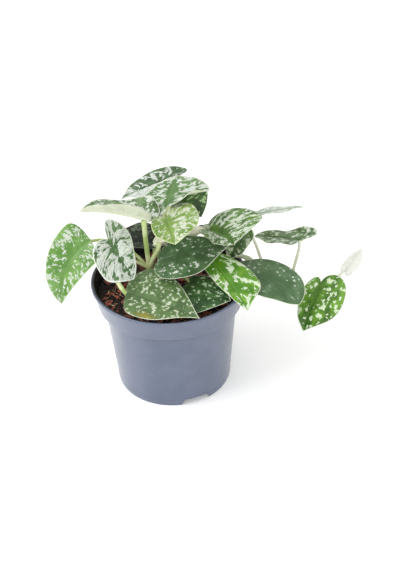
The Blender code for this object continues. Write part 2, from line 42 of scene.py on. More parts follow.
class Wire:
    # a socket that can stand in a sum; its own node's other outputs are taken by name
    def __init__(self, graph, socket):
        self.graph = graph
        self.socket = socket

    def __getitem__(self, name):
        outputs = self.socket.node.outputs
        return Wire(self.graph, next(s for s in outputs if s.name == name and s.enabled))

    def maths(self, operation, *others):
        return self.graph.maths(operation, self, *others)

    def vectors(self, operation, *others):
        return self.graph.add("ShaderNodeVectorMath", {"operation": operation}, [self, *others])

    def __add__(self, other):
        return self.maths("ADD", other)

    __radd__ = __add__

    def __sub__(self, other):
        return self.maths("SUBTRACT", other)

    def __rsub__(self, other):
        return self.graph.maths("SUBTRACT", other, self)

    def __mul__(self, other):
        return self.maths("MULTIPLY", other)

    __rmul__ = __mul__

    def __truediv__(self, other):
        return self.maths("DIVIDE", other)

    def __rtruediv__(self, other):
        return self.graph.maths("DIVIDE", other, self)

    def __pow__(self, other):
        return self.maths("POWER", other)

    def __neg__(self):
        return self.maths("MULTIPLY", -1)

    def __abs__(self):
        return self.maths("ABSOLUTE")


class Graph:
    # adds nodes to a tree: settings first, then what its sockets are given
    def __init__(self, tree):
        self.tree = tree

    def add(self, kind, settings=None, given=()):
        node = self.tree.nodes.new(kind)
        for name, value in (settings or {}).items():
            setattr(node, name, value)
        for key, value in given.items() if isinstance(given, dict) else enumerate(given):
            sockets = [s for s in node.inputs if s.enabled]
            socket = sockets[[s.name for s in sockets].index(key) if isinstance(key, str) else key]
            if isinstance(value, list):
                for wire in value:
                    self.tree.links.new(wire.socket, socket)
            elif isinstance(value, Wire):
                self.tree.links.new(value.socket, socket)
            else:
                socket.default_value = value
        outputs = [s for s in node.outputs if s.enabled]
        return Wire(self, outputs[0]) if outputs else node

    def geometry(self, kind, given):
        return self.add("GeometryNode" + kind, {}, given)

    def maths(self, operation, *values):
        return self.add("ShaderNodeMath", {"operation": operation}, values)

    def xyz(self, x, y, z):
        return self.add("ShaderNodeCombineXYZ", {}, [x, y, z])

    def smooth(self, value, low, high):
        return self.add("ShaderNodeMapRange", {"interpolation_type": "SMOOTHSTEP"}, [value, low, high])

    def mix(self, factor, first, second):
        return self.add("ShaderNodeMix", {"data_type": "RGBA"}, {
            "Factor": factor, "A": first, "B": second})

    def noise(self, vector, scale, detail=2, rough=0.5, distortion=0):
        return self.add("ShaderNodeTexNoise", {}, {
            "Vector": vector, "Scale": scale, "Detail": detail, "Roughness": rough,
            "Distortion": distortion})

    def place(self):
        return self.add("ShaderNodeTexCoord")["Object"]

    def split(self, vector):
        return self.add("ShaderNodeSeparateXYZ", {}, [vector])

    def named(self, name, kind):
        return self.add("GeometryNodeInputNamedAttribute", {"data_type": kind}, {"Name": name})

    def store(self, geometry, name, kind, value, domain="POINT"):
        return self.add("GeometryNodeStoreNamedAttribute", {"data_type": kind, "domain": domain}, {
            "Geometry": geometry, "Name": name, "Value": value})


def higher(a, b):
    return a.maths("MAXIMUM", b)


def lower(a, b):
    return a.maths("MINIMUM", b)


def sine(a):
    return a.maths("SINE")


def cosine(a):
    return a.maths("COSINE")


def bezierAt(a, b, c, d, u):
    v = 1 - u
    return a * v ** 3 + b * (3 * v * v * u) + c * (3 * v * u * u) + d * u ** 3


def newTree(name, inputs):
    tree = bpy.data.node_groups.new(name, "GeometryNodeTree")
    tree.interface.new_socket(name="Geometry", in_out="OUTPUT", socket_type="NodeSocketGeometry")
    tree.interface.new_socket(name="Geometry", in_out="INPUT", socket_type="NodeSocketGeometry")
    for label, kind in inputs.items():
        tree.interface.new_socket(name=label, in_out="INPUT", socket_type="NodeSocket" + kind)
    graph = Graph(tree)
    return tree, graph, graph.add("NodeGroupInput")


def endTree(graph, geometry, finish, below=None):
    # the second finish goes on the faces that are marked as a blade's lower ones
    whole = graph.geometry("RealizeInstances", [geometry])
    whole = graph.geometry("SetMaterial", {"Geometry": whole, "Material": finish})
    if below:
        whole = graph.geometry("SetMaterial", {
            "Geometry": whole, "Selection": graph.named("below", "BOOLEAN"), "Material": below})
    graph.add("NodeGroupOutput", {}, [whole])


def frozen(obj, tree, values):
    # runs the tree on an object and keeps only the mesh that comes out
    modifier = obj.modifiers.new(tree.name, "NODES")
    modifier.node_group = tree
    for item in tree.interface.items_tree:
        if item.in_out == "INPUT" and item.name in values:
            value = values[item.name]
            modifier[item.identifier] = float(value) if item.socket_type == "NodeSocketFloat" else value
    seen = bpy.context.evaluated_depsgraph_get()
    mesh = bpy.data.meshes.new_from_object(obj.evaluated_get(seen), preserve_all_data_layers=True,
                                           depsgraph=seen)
    name = obj.name
    bpy.data.objects.remove(obj)
    return newObject(name, mesh)


def meshFrom(name, bm):
    mesh = bpy.data.meshes.new(name)
    bm.to_mesh(mesh)
    return mesh


def newObject(name, data):
    obj = bpy.data.objects.new(name, data)
    bpy.context.scene.collection.objects.link(obj)
    return obj


def colour(red, green, blue):
    # from the 0 to 255 values of a picture to the linear ones that a shader takes
    linear = [((c / 255 + 0.055) / 1.055) ** 2.4 if c > 10 else c / 3295 for c in (red, green, blue)]
    return (*linear, 1)


def mottled(graph, factor, first, second):
    # two colours in soft clouds, from a noise
    return graph.mix(graph.smooth(factor, 0.35, 0.65), colour(*first), colour(*second))


def fix(shader, values):
    # values that are the same all over a surface
    for name, value in values.items():
        shader.inputs[name].default_value = value


class Finish(Graph):
    # a material whose varying values come from nodes
    def __init__(self, name, roughness):
        self.material = bpy.data.materials.new(name)
        self.material.use_nodes = True
        super().__init__(self.material.node_tree)
        self.shader = self.tree.nodes["Principled BSDF"]
        fix(self.shader, {"Roughness": roughness})

    def feed(self, name, value):
        self.tree.links.new(value.socket, self.shader.inputs[name])

    def bump(self, height, distance, strength):
        self.feed("Normal", self.add("ShaderNodeBump", {}, {
            "Strength": strength, "Distance": distance, "Height": height}))


def pieceName(node):
    first, *others = node.split("_")
    return first + "".join(word.capitalize() for word in others)


def keep(obj, nodes):
    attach(obj, "root")
    if nodes:
        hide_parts(*nodes)


# Camera, light and floor

# angles in degrees, lens and sensor in millimetres
cameraPlace = {"height": 37.15, "distance": 0.8, "aim": 0.045, "lens": 64.12, "sensor": 36,
               "turn": -1.69, "tip": 2.14, "lean": 3.37}
light = {"world": 0.92, "size": 0.9, "target": (0, 0, 0.08),
         "key": (9, (-0.8, -0.15, 0.9)), "fill": (5, (0.1, -1.2, 0.3))}
ground = {"reach": 3, "tone": (250, 250, 250), "glow": 0.15, "roughness": 0.9}
white = (1, 1, 1, 1)


def addCamera():
    # looks along +Y from above, then turns, tips and leans as the photo's camera does
    axes = Matrix.Rotation(-radians(cameraPlace["height"]), 4, "X")
    place = Vector((0, 0, cameraPlace["aim"])) - axes.col[1].xyz * cameraPlace["distance"]
    for name, axis in (("turn", "Z"), ("tip", "X"), ("lean", "Y")):
        axes = axes @ Matrix.Rotation(radians(cameraPlace[name]), 4, axis)
    data = bpy.data.cameras.new("camera")
    data.lens = cameraPlace["lens"]
    data.sensor_width = cameraPlace["sensor"]
    camera = newObject("camera", data)
    camera.matrix_world = Matrix.Translation(place) @ axes @ Matrix.Rotation(pi / 2, 4, "X")
    bpy.context.scene.camera = camera


def addLight(name):
    power, place = light[name]
    data = bpy.data.lights.new(name, "AREA")
    data.energy = power
    data.size = light["size"]
    lamp = newObject(name, data)
    lamp.location = place
    lamp.rotation_euler = (Vector(place) - Vector(light["target"])).to_track_quat("Z", "Y").to_euler()


def addStage():
    bm = bmesh.new()
    bmesh.ops.create_grid(bm, x_segments=1, y_segments=1, size=ground["reach"])
    mesh = meshFrom("floor", bm)
    floor = newObject("floor", mesh)
    g = Finish("floor", ground["roughness"])
    fix(g.shader, {"Base Color": colour(*ground["tone"]), "Emission Color": white,
                   "Emission Strength": ground["glow"]})
    mesh.materials.append(g.material)
    world = bpy.data.worlds.new("studio")
    world.use_nodes = True
    fix(world.node_tree.nodes["Background"], {"Color": white, "Strength": light["world"]})
    bpy.context.scene.world = world
    addLight("key")
    addLight("fill")
    bpy.context.scene.view_settings.view_transform = "Standard"


# Pot

# "bevel" rounds plain corners, and "lipRound" those of the lip
pot = {
    "height": 0.091, "rim": 0.06, "collarHeight": 0.0185, "collar": 0.0556, "shoulder": 0.0512,
    "base": 0.0446, "wall": 0.0012, "lipWidth": 0.0024, "lipHeight": 0.0022, "lipRound": 0.0009,
    "lipStep": 0.0012, "floor": 0.0015, "channel": 0.0055, "pad": 0.026, "padSlope": 0.003,
    "foot": 0.005, "footSlope": 0.001, "ring": 0.0035, "ringRise": 0.0003, "ringHeight": 0.0012,
    "bevel": 0.0005, "crease": 0.0003, "steps": 144, "sharp": 40,
    "notches": 3, "notchWidth": 0.024, "notchLean": 0.003, "notchDepth": 0.012, "firstNotch": -70,
    "drain": 0.003, "drainCircle": 0.035, "drainDepth": 0.012, "drainSides": 24,
    "blue": (75, 85, 107), "grey": (83, 92, 114), "roughness": 0.34, "coat": 0.5,
    # "inside" is a near black colour painted as the shade inside the pot and under its foot
    "coatRoughness": 0.25, "inside": (22, 26, 30), "insideRoughness": 0.4,
    # the next line's first four values set a band of painted shade, the collar's shadow on the wall
    # under it
    "grimeDrop": 0.0022, "grimeReach": 0.0026, "grimeCore": 0.001, "grime": 0.45}


def wallRadius(z):
    share = z / (pot["height"] - pot["collarHeight"])
    return pot["base"] + (pot["shoulder"] - pot["base"]) * share


def rounded(corners, steps=4):
    # each corner (radius, height, rounding) becomes a short curve
    points = []
    for index, (radius, height, bend) in enumerate(corners):
        corner = Vector((radius, height))
        if not bend:
            points.append(corner)
            continue
        ends = [Vector(corners[index + way][:2]) for way in (-1, 1)]
        near, far = [corner + (end - corner).normalized() * min(bend, (end - corner).length * 0.45)
                     for end in ends]
        for share in (step / steps for step in range(steps + 1)):
            rest = 1 - share
            points.append(near * rest ** 2 + corner * (2 * share * rest) + far * share ** 2)
    return points


def turnedMesh(name, points, steps):
    # the first and last points lie on the axis
    bm = bmesh.new()
    rings = []
    for radius, height in points[1:-1]:
        rings.append([bm.verts.new((radius * cos(angle), radius * sin(angle), height))
                      for angle in (tau * step / steps for step in range(steps))])
    for low, high in zip(rings, rings[1:]):
        for step in range(steps):
            after = (step + 1) % steps
            bm.faces.new((low[step], low[after], high[after], high[step]))
    for ring, end in ((rings[0], points[0]), (rings[-1], points[-1])):
        pole = bm.verts.new((0, 0, end[1]))
        for step in range(steps):
            bm.faces.new((pole, ring[step], ring[(step + 1) % steps]))
    bmesh.ops.recalc_face_normals(bm, faces=bm.faces)
    return meshFrom(name, bm)


def addCutter(obj, name, bm):
    bmesh.ops.recalc_face_normals(bm, faces=bm.faces)
    cutter = newObject(name, meshFrom(name, bm))
    obj.modifiers.new(name, "BOOLEAN").object = cutter
    return cutter


def cutNotchesAndDrains(obj):
    blocks, rods = bmesh.new(), bmesh.new()
    for index in range(pot["notches"]):
        turn = Matrix.Rotation(radians(pot["firstNotch"] + 360 / pot["notches"] * index), 4, "Z")
        low = pot["notchWidth"] / 2
        high = low - pot["notchLean"]
        top = pot["channel"] - pot["crease"]
        section = [(-low, -top), (-low, 0), (-high, top), (high, top), (low, 0), (low, -top)]
        # each block starts a little outside the foot and reaches through it
        face = blocks.faces.new([blocks.verts.new((pot["base"] + 0.002, y, z)) for y, z in section])
        verts = list(face.verts)
        moved = bmesh.ops.extrude_face_region(blocks, geom=[face])["geom"]
        moved = [item for item in moved if isinstance(item, bmesh.types.BMVert)]
        bmesh.ops.translate(blocks, verts=moved, vec=(-pot["notchDepth"], 0, 0))
        bmesh.ops.transform(blocks, matrix=turn, verts=moved + verts)
        middle = Matrix.Translation((pot["drainCircle"], 0, pot["drainDepth"] / 2))
        bmesh.ops.create_cone(rods, cap_ends=True, segments=pot["drainSides"], radius1=pot["drain"],
                              radius2=pot["drain"], depth=pot["drainDepth"], matrix=turn @ middle)
    cutters = [addCutter(obj, "notches", blocks), addCutter(obj, "drains", rods)]
    seen = bpy.context.evaluated_depsgraph_get()
    obj.data = bpy.data.meshes.new_from_object(obj.evaluated_get(seen))
    obj.modifiers.clear()
    for cutter in cutters:
        bpy.data.objects.remove(cutter)


def potSection():
    # the outline of the wall: up the inside, over the lip and down the outside to the foot
    wall, ring, bevel, crease, channel = [pot[key] for key in (
        "wall", "ring", "bevel", "crease", "channel")]
    height, rim, collar, shoulder, lipRound = [pot[key] for key in (
        "height", "rim", "collar", "shoulder", "lipRound")]
    step, lipBottom = height - pot["collarHeight"], height - pot["lipHeight"]
    floor, inside = channel + pot["floor"], rim - pot["lipWidth"]
    padEdge, footEdge = pot["pad"] + pot["padSlope"], pot["base"] - pot["foot"]
    ringTop = ring + pot["ringHeight"]
    return rounded([
        (0, pot["floor"], 0), (pot["pad"] - wall, pot["floor"], bevel),
        (padEdge - wall, floor, bevel), (wallRadius(floor) - wall, floor, 0.001),
        (shoulder - wall, step + wall, bevel), (collar - wall, step + wall, bevel),
        (inside - bevel, lipBottom, bevel), (inside, height, lipRound), (rim, height, lipRound),
        (rim, lipBottom, bevel), (rim - pot["lipStep"], lipBottom - crease, crease),
        (collar + 0.0001, step, 0.0008), (shoulder, step, crease),
        (wallRadius(ringTop), ringTop, crease),
        (wallRadius(ring) + pot["ringRise"], (ring + ringTop) / 2, crease),
        (wallRadius(ring), ring, crease), (pot["base"], 0, 0.0006), (footEdge, 0, 0.0004),
        (footEdge - pot["footSlope"], channel, bevel), (padEdge, channel, bevel),
        (pot["pad"], 0, bevel), (0, 0, 0)])


def plasticFinish():
    # a band of painted shade, the collar's shadow, lies on the wall in the corner under the collar
    g = Finish("potPlastic", pot["roughness"])
    place = g.place()
    corner = pot["height"] - pot["collarHeight"] - pot["grimeDrop"]
    away = abs(g.split(place)["Z"] - corner)
    grime = g.smooth(away, pot["grimeReach"], pot["grimeCore"]) * pot["grime"]
    shade = mottled(g, g.noise(place, 45, 4, 0.6), pot["blue"], pot["grey"])
    g.feed("Base Color", g.mix(grime, shade, colour(*pot["inside"])))
    g.feed("Roughness", g.noise(place, 160, 3) * 0.16 + (pot["roughness"] - 0.08))
    g.bump(g.noise(place, 900, 2), 0.0001, 0.25)
    fix(g.shader, {"Coat Weight": pot["coat"], "Coat Roughness": pot["coatRoughness"]})
    return g.material


# a near black colour painted as the shade inside the pot and under its foot
def paintedShadeLining():
    g = Finish("potPaintedShade", pot["insideRoughness"])
    darker = [c * 0.8 for c in pot["inside"]]
    cloud = g.noise(g.place(), 80, 3)
    g.feed("Base Color", g.mix(cloud, colour(*pot["inside"]), colour(*darker)))
    return g.material


def inPaintedShade(face):
    # painted shade: the inner faces up to the middle of the lip, and the shaded channel behind the
    # notches, take a near black colour
    away, height = face.center.xy.length, face.center.z
    if 0.0002 < height < pot["channel"] + 0.0002 and away < pot["base"] - pot["foot"]:
        return True
    inward = face.center.xy.normalized().dot(face.normal.xy) < -0.05
    upward = face.normal.z > 0.5 and away < pot["rim"] - pot["lipStep"]
    behindWall = away < wallRadius(height) - pot["wall"] / 2
    return height > 0.001 and (inward or upward) and (
        behindWall or height > pot["height"] - pot["collarHeight"])


def addPot():
    obj = newObject("nurseryPot", turnedMesh("nurseryPot", potSection(), pot["steps"]))
    cutNotchesAndDrains(obj)
    obj.data.shade_smooth()
    obj.data.set_sharp_from_angle(angle=radians(pot["sharp"]))
    obj.data.materials.clear()
    obj.data.materials.append(plasticFinish())
    obj.data.materials.append(paintedShadeLining())
    for face in obj.data.polygons:
        if inPaintedShade(face):
            face.material_index = 1
    keep(obj, ["pot"])


# Potting mix

# "low" and "high" are the smallest and largest half sizes of the bits, and "tilt" is in radians
mix = {
    "level": 0.08, "swell": 0.0022, "slope": 0.006, "play": 0.0003, "rings": 44, "steps": 132,
    "dark": (8, 5, 6), "pale": (38, 21, 19), "grain": 420, "roughness": 0.92,
    "bits": {
        "crumbs": {
            "density": 150000, "seed": 3, "cuts": 1, "tilt": 1.5,
            "low": (0.0006, 0.0006, 0.0005), "high": (0.0017, 0.0014, 0.0011),
            "dark": (12, 7, 8), "pale": (62, 34, 29), "grain": 500, "roughness": 0.92},
        "bark": {
            "density": 30000, "seed": 11, "cuts": 2, "tilt": 0.5,
            "low": (0.0012, 0.0009, 0.0006), "high": (0.0056, 0.0036, 0.0024),
            "dark": (66, 30, 24), "pale": (184, 102, 80), "grain": 350, "roughness": 0.8},
        "straw": {
            "density": 24000, "seed": 5, "cuts": 1, "tilt": 0.25,
            "low": (0.0034, 0.0003, 0.0003), "high": (0.0095, 0.0005, 0.0004),
            "dark": (150, 104, 76), "pale": (222, 184, 148), "grain": 300, "roughness": 0.7}}}


def soilFinish(name, look):
    g = Finish(name, look["roughness"])
    place, grain = g.place(), look["grain"]
    cloud = g.smooth(g.noise(place, grain, 5, 0.7), 0.38, 0.66)
    g.feed("Base Color", g.mix(cloud, colour(*look["dark"]), colour(*look["pale"])))
    g.bump(g.noise(place, grain * 4, 4, 0.7), 0.0005, 0.7)
    return g.material


def scatterTree():
    # lumps of random size and turn all over the top of a surface
    tree, g, given = newTree("scatter", {
        "density": "Float", "seed": "Int", "cuts": "Int", "low": "Vector", "high": "Vector",
        "tilt": "Float", "level": "Float", "edge": "Float", "finish": "Material"})
    place = g.add("GeometryNodeInputPosition")
    parts = g.split(place)
    away = (parts["X"] ** 2 + parts["Y"] ** 2).maths("SQRT")
    onTop = (away.maths("LESS_THAN", given["edge"])
             * parts["Z"].maths("GREATER_THAN", given["level"]))
    points = g.geometry("DistributePointsOnFaces", {
        "Mesh": given, "Selection": onTop, "Density": given["density"], "Seed": given["seed"]})
    size = g.add("FunctionNodeRandomValue", {"data_type": "FLOAT_VECTOR"}, {
        "Min": given["low"], "Max": given["high"], "Seed": given["seed"] + 1})
    tilt = given["tilt"]
    turn = g.add("FunctionNodeRandomValue", {"data_type": "FLOAT_VECTOR"}, {
        "Min": g.xyz(-tilt, -tilt, 0), "Max": g.xyz(tilt, tilt, tau), "Seed": given["seed"] + 2})
    lump = g.geometry("MeshIcoSphere", {"Radius": 1, "Subdivisions": given["cuts"]})
    wobble = g.noise(place, 1.3, 2)
    lump = g.geometry("SetPosition", {
        "Geometry": lump, "Position": place.vectors("SCALE", wobble * 2.2 - 0.1)})
    lumps = g.geometry("InstanceOnPoints", {
        "Points": points, "Instance": lump, "Rotation": turn, "Scale": size})
    endTree(g, lumps, given["finish"])
    return tree


def addMix():
    step = pot["height"] - pot["collarHeight"]
    level, play = mix["level"], mix["play"]
    floor = pot["channel"] + pot["floor"] + play
    wall = pot["wall"] + play
    flare = (pot["rim"] - pot["collar"]) / pot["collarHeight"]
    edge = pot["collar"] - wall + (level - step) * flare - 2 * play
    points = [Vector((edge * ring / mix["rings"], level)) for ring in range(mix["rings"] + 1)]
    points += [Vector(point) for point in (
        (pot["collar"] - wall, step + wall), (pot["shoulder"] - wall, step + wall),
        (wallRadius(floor) - wall, floor), (0, floor))]
    mesh = turnedMesh("pottingMix", points, mix["steps"])
    for vertex in mesh.vertices:
        away = vertex.co.xy.length
        if vertex.co.z > level - 0.0001 and away < edge - 0.0001:
            fade = min(1, (edge - away) / mix["slope"])
            broad = noise.noise(vertex.co * 60) + 0.45 * noise.noise(vertex.co * 240)
            fine = 0.3 * noise.noise(vertex.co * 900)
            vertex.co.z += mix["swell"] * (broad + fine) * fade
    mesh.shade_smooth()
    soil = newObject("pottingMix", mesh)
    mesh.materials.append(soilFinish("earth", mix))
    tree = scatterTree()
    for name, own in mix["bits"].items():
        # the bits keep off the wall and off the underside
        lumps = frozen(newObject(name, mesh), tree, {
            **own, "level": level - 0.003, "edge": edge - 0.004, "finish": soilFinish(name, own)})
        if name == "crumbs":
            lumps.data.shade_smooth()
        keep(lumps, [])
    keep(soil, ["potting_mix"])


# Blades

# A blade's width, folds and lobes come first, then how its upper face looks. "tones" holds its two
# greens and its silver, and "share" is how much of the blade the silver takes. "lean" gives the
# right side more of it, "band" is the share of the half width that stays green along the midrib,
# "streaks" and "reach" set how fine and how short the streaks are, "blots" how far round spots take
# their place, and "clumps" how much the silver gathers
plainBlade = {
    "width": 0.042, "wave": 0.0008, "roll": 0, "fold": 10, "foldLeft": 0, "foldRight": 0,
    "cup": -10, "arch": 10, "hook": 0, "sweep": 0, "flareRight": 0, "left": 1, "right": 1,
    "lobeLeft": 0.2, "lobeRight": 0.2, "belly": 0.3, "shoulder": 0.45, "backLeft": 0,
    "backRight": 0,
    "tones": [(50, 76, 30), (96, 128, 72), (204, 214, 196)], "share": 0.45, "lean": 0, "band": 0.22,
    "streaks": 15, "reach": 3.2, "blots": 0.35, "blotSize": 0.003, "clumps": 0.12, "veining": 0,
    # the "under" colour is the leaf's own pale cream, lifted brighter as painted light on undersides
    # that lie in shade
    "rim": (206, 216, 188), "rimWidth": 0.0005, "under": (240, 243, 216), "gloss": 0.42}
spotty = {"blots": 0.85, "blotSize": 0.0027, "band": 0.12, "clumps": 0.3}

# Each blade runs from its base, where the stalk meets it, to its tip, as in the CAD model
blades = {
    "leaf_left_hanging": {
        "base": (-0.0575, 0.01, 0.1215), "tip": (-0.083, -0.008, 0.0765), "roll": -35, "arch": 25,
        "sweep": -60, "left": 0.8, "right": 0.97, "lobeLeft": 0, "lobeRight": 0, "belly": 0.12,
        "shoulder": 0.4,
        "tones": [(72, 118, 36), (104, 146, 66), (186, 192, 182)], "share": 0.42, "streaks": 26,
        "reach": 2.4, "blotSize": 0.002, "rim": (156, 182, 130)},
    "leaf_left_silver": {
        "base": (-0.0435, 0, 0.1265), "tip": (-0.026, -0.02, 0.104), "width": 0.038, "roll": -10,
        "arch": 30, "fold": 12, "sweep": -30, "left": 0.98, "right": 1.45, "lobeLeft": 0.35,
        "shoulder": 0.55, "backLeft": 0.8, "backRight": -0.5,
        "tones": [(54, 90, 42), (96, 132, 80), (222, 227, 220)], "share": 0.62, "band": 0.18,
        "streaks": 18, "reach": 2, "blots": 0.15, "veining": 0.4, "rimWidth": 0.0011,
        "rim": (228, 233, 222)},
    "leaf_left_folded": {
        "base": (-0.0135, 0.0025, 0.1405), "tip": (-0.063, 0.0015, 0.151), "width": 0.036, "roll": 20,
        "arch": 12, "fold": 22, "foldLeft": 20, "hook": 10, "flareRight": 30, "left": 0.85,
        "right": 1.35, "lobeLeft": 0.05, "belly": 0.25, "shoulder": 0.8,
        "tones": [(60, 90, 40), (110, 140, 88), (202, 207, 198)], "share": 0.5, "rimWidth": 0.001,
        "rim": (214, 217, 200), "under": (208, 213, 190), "streaks": 20},
    "leaf_left_shaded": {
        "base": (-0.01, 0.03, 0.104), "tip": (-0.043, 0.028, 0.105), "width": 0.034, "fold": 14,
        "left": 0.8, "right": 1.35,
        # its greens and silver are darkened as painted shade from the leaves above it
        "tones": [(7, 12, 5), (18, 30, 14), (92, 104, 86)], "share": 0.4, "streaks": 12,
        "rim": (150, 158, 138), "gloss": 0.75},
    "leaf_top_back": {
        "base": (0.009, 0.0645, 0.141), "tip": (-0.0345, 0.0485, 0.1325), "width": 0.043, "arch": 20,
        "roll": -12, "fold": 12, "left": 0.5, "right": 0.6, "lobeRight": 0.35,
        "tones": [(52, 80, 42), (84, 112, 74), (210, 215, 208)], "share": 0.64, "lean": -0.22,
        "band": 0.1, "streaks": 18, "reach": 2, "blots": 0.2, "veining": 0.4, "rim": (206, 213, 200)},
    "leaf_crown": {
        "base": (0.001, 0.0185, 0.1425), "tip": (0.01, 0.058, 0.146), "width": 0.062, "roll": -14,
        "fold": 0, "foldLeft": 4, "flareRight": 28, "left": 0.72, "lobeLeft": 0.45, "lobeRight": 0.15,
        "shoulder": 0.6, "backLeft": 0.1,
        "tones": [(58, 96, 34), (92, 128, 66), (202, 208, 198)], "share": 0.5, "streaks": 21,
        "reach": 3, "blots": 0.25, "rimWidth": 0.001, "rim": (214, 220, 200)},
    "leaf_crown_shaded": {
        "base": (0.01, 0.0365, 0.1375), "tip": (0.027, 0.0255, 0.1265), "width": 0.046, "arch": 20,
        "left": 1.15, "right": 0.7,
        # its very dark greens are painted shade from the crown leaf above, and their strong yellow cast
        # is painted light shining through it
        "tones": [(22, 50, 2), (54, 96, 16), (170, 200, 138)], "share": 0.36},
    "leaf_crown_young": {
        "base": (0.0005, 0.003, 0.141), "tip": (0.0055, -0.025, 0.1355), "width": 0.044, "roll": 10,
        "arch": 30, "fold": 15, "left": 1.05, "right": 0.6, "lobeLeft": 0.75, "belly": 0.4,
        "shoulder": 0.7,
        "tones": [(92, 126, 34), (128, 156, 74), (194, 199, 182)], "share": 0.46, "lean": -0.08,
        "streaks": 24, "rim": (198, 210, 156)},
    "leaf_crown_turned": {
        "base": (-0.01, 0.0125, 0.1135), "tip": (0.033, 0.0235, 0.1155), "width": 0.05, "roll": -60,
        "left": 0.4, "right": 0.58, "lobeLeft": 0.05, "lobeRight": 0.05,
        # its underside colour is near white, which is painted light where it lies in shade under the
        # young leaf
        "tones": [(56, 80, 36), (100, 130, 76), (204, 214, 196)], "under": (250, 250, 228)},
    "leaf_right_folded": {
        "base": (0.032, 0.0105, 0.1245), "tip": (0.048, -0.0165, 0.127), "width": 0.06, "fold": 24,
        "foldRight": -22, "sweep": 18, "left": 1.03, "right": 0.35, "lobeLeft": 0.3, "belly": 0.5,
        "shoulder": 1.3, "backRight": 0.2,
        "tones": [(52, 88, 14), (88, 128, 44), (200, 209, 192)], "share": 0.5, "streaks": 24,
        "reach": 4},
    "leaf_centre_dark": {
        "base": (-0.008, -0.002, 0.107), "tip": (0.047, 0, 0.117), "width": 0.046, "arch": 20,
        "roll": 12, "fold": 8, "left": 0.7, "right": 1.15, "lobeLeft": 0, "lobeRight": 0.1,
        "belly": 0.35, "shoulder": 0.3,
        **spotty, "tones": [(40, 72, 32), (70, 102, 62), (200, 206, 196)], "share": 0.2, "band": 0.2},
    "leaf_front_pale": {
        "base": (-0.032, -0.024, 0.096), "tip": (0.02, -0.058, 0.093), "width": 0.05, "roll": 12,
        "fold": 4, "foldRight": 8, "left": 1.15, "right": 0.85, "lobeLeft": 0.05, "lobeRight": 0,
        "belly": 0.22, "shoulder": 0.15, "backLeft": 0.12, "backRight": -0.12,
        **spotty, "tones": [(62, 90, 46), (90, 117, 67), (192, 202, 178)], "share": 0.3,
        "patch": (156, 142, 44), "patchAt": (0.55, 0.9)},
    "leaf_front_dark": {
        "base": (0.015, -0.014, 0.095), "tip": (0.044, -0.035, 0.0905), "width": 0.054, "roll": 10,
        "fold": 6, "left": 0.4, "right": 1.1, "lobeLeft": 0.1, "lobeRight": 0.05,
        **spotty, "tones": [(28, 62, 22), (60, 98, 46), (188, 208, 176)], "share": 0.24},
    "leaf_right_bright": {
        "base": (0.03, 0.002, 0.108), "tip": (0.056, -0.043, 0.086), "roll": 9, "arch": 25,
        "left": 0.92, "right": 0.5, "lobeLeft": 0.1, "lobeRight": 0.1, "belly": 0.45, "shoulder": 0.6,
        "backLeft": -0.45, "backRight": 0.5,
        "tones": [(62, 116, 4), (104, 154, 30), (206, 217, 194)], "share": 0.46, "band": 0.3,
        "blots": 0.4, "streaks": 13, "reach": 2.4},
    "leaf_right_plain": {
        "base": (0.064, -0.012, 0.0935), "tip": (0.095, -0.033, 0.0815), "width": 0.052, "roll": 8,
        "arch": 30, "hook": 30, "fold": 6, "sweep": 45, "left": 0.85, "right": 0.75, "lobeLeft": 0.6,
        "lobeRight": 0.2, "shoulder": 0.8, "backLeft": 0.7, "backRight": 0.4,
        **spotty, "tones": [(56, 88, 48), (84, 114, 76), (202, 212, 198)], "share": 0.14, "band": 0.3},
    "leaf_right_heart": {
        "base": (0.1145, -0.008, 0.083), "tip": (0.098, -0.034, 0.057), "width": 0.046, "roll": 16,
        "fold": 16, "left": 1.35, "right": 0.5, "lobeLeft": 0.25, "lobeRight": 0.15, "belly": 0.4,
        "tones": [(46, 88, 2), (94, 142, 30), (202, 217, 186)], "share": 0.36, "blots": 0.85,
        "blotSize": 0.0036},
    "leaf_right_level": {
        "base": (0.104, 0.024, 0.1015), "tip": (0.067, 0.027, 0.1055), "width": 0.034, "roll": 8,
        "fold": 12, "flareRight": 30, "right": 0.75, "lobeLeft": 0, "lobeRight": 0, "shoulder": 0.9,
        "backLeft": -0.2, "backRight": 0.75,
        "tones": [(60, 90, 42), (102, 128, 86), (204, 214, 196)], "share": 0.42},
    "leaf_right_slim": {
        "base": (0.071, 0.034, 0.121), "tip": (0.108, 0.038, 0.123), "width": 0.034, "roll": -20,
        "fold": 4, "right": 0.6, "belly": 0.25,
        "tones": [(126, 144, 116), (158, 172, 152), (204, 210, 202)], "share": 0.55},
    "leaf_right_striped": {
        "base": (0.06, 0.012, 0.12), "tip": (0.047, 0.004, 0.101), "width": 0.03, "fold": 14,
        "left": 0.8,
        "tones": [(38, 70, 22), (90, 124, 66), (206, 217, 196)], "share": 0.42, "streaks": 12,
        "reach": 2},
    "leaf_right_pale": {
        "base": (0.136, 0.004, 0.084), "tip": (0.149, 0.01, 0.1), "width": 0.012, "wave": 0.0003,
        "roll": 60, "fold": 14,
        "tones": [(196, 198, 188), (204, 205, 198), (214, 215, 208)], "share": 0.4,
        "rim": (204, 206, 196)},
    "leaf_back_small": {
        "base": (0.02, 0.036, 0.106), "tip": (0.034, 0.031, 0.112), "width": 0.016, "wave": 0.0003,
        "fold": 14,
        "tones": [(40, 60, 22), (96, 128, 72), (204, 214, 196)], "share": 0.5},
    "leaf_back_left": {
        "base": (-0.014, 0.048, 0.1), "tip": (-0.036, 0.066, 0.088), "width": 0.03, "arch": 20},
    "leaf_back_middle": {
        "base": (-0.002, 0.062, 0.105), "tip": (0.002, 0.095, 0.09), "width": 0.036, "arch": 20},
    "leaf_back_right": {
        "base": (0.034, 0.046, 0.098), "tip": (0.058, 0.066, 0.084), "width": 0.03, "arch": 20},
    "leaf_back_low": {
        "base": (-0.005, 0.07, 0.093), "tip": (-0.013, 0.088, 0.062), "width": 0.028, "arch": 20}}


